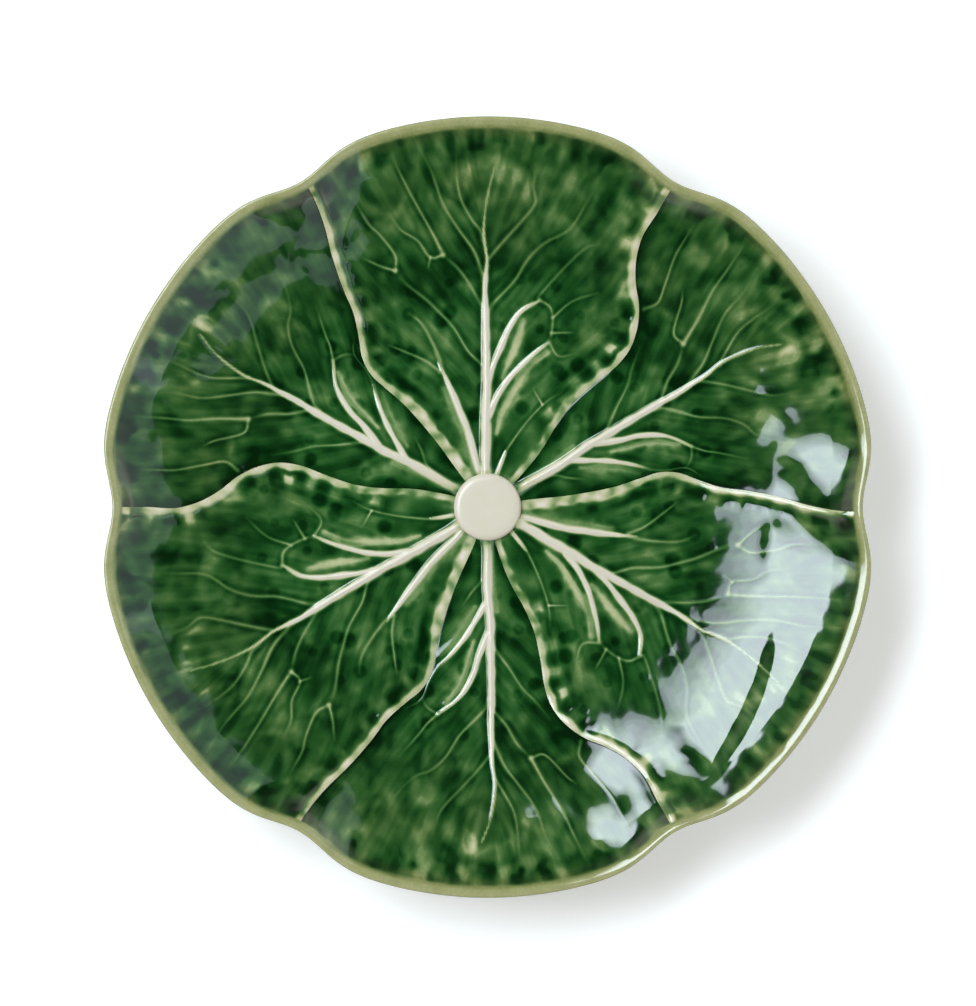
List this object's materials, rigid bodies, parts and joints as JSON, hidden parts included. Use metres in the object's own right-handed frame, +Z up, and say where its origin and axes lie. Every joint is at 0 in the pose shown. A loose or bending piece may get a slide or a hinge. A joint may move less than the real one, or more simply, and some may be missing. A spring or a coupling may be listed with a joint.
{
  "type": "canape plate",
  "caption": "Round shallow plate with a scalloped rim, formed as overlapping cabbage leaves with raised ribs round a cut stem, standing on a foot ring.",
  "frame": {"origin": "middle of the foot ring, on the surface that the plate stands on", "axes": "+Z up through the middle of the plate, +Y towards the middle of an upper leaf"},
  "size_m": [0.1618, 0.165, 0.022],
  "materials": {
    "green_glaze": "glossy green glaze over cream earthenware",
    "leaf_glaze": "glossy mottled green glaze, dark where it pools and pale on edges",
    "rib_glaze": "glossy cream glaze, thin and warm white",
    "stem_glaze": "glossy cream glaze",
    "foot_clay": "glazed sides with a bare clay edge underneath"
  },
  "bodies": {
    "root": {"plate_body": "green_glaze", "foot_ring": "foot_clay", "stem_boss": "stem_glaze", "lower_leaf_1": "leaf_glaze", "upper_leaf_1": "leaf_glaze", "lower_leaf_2": "leaf_glaze", "upper_leaf_2": "leaf_glaze", "lower_leaf_3": "leaf_glaze", "upper_leaf_3": "leaf_glaze", "lower_ribs_1": "rib_glaze", "upper_ribs_1": "rib_glaze", "lower_ribs_2": "rib_glaze", "upper_ribs_2": "rib_glaze", "lower_ribs_3": "rib_glaze", "upper_ribs_3": "rib_glaze"}
  },
  "joints": []
}
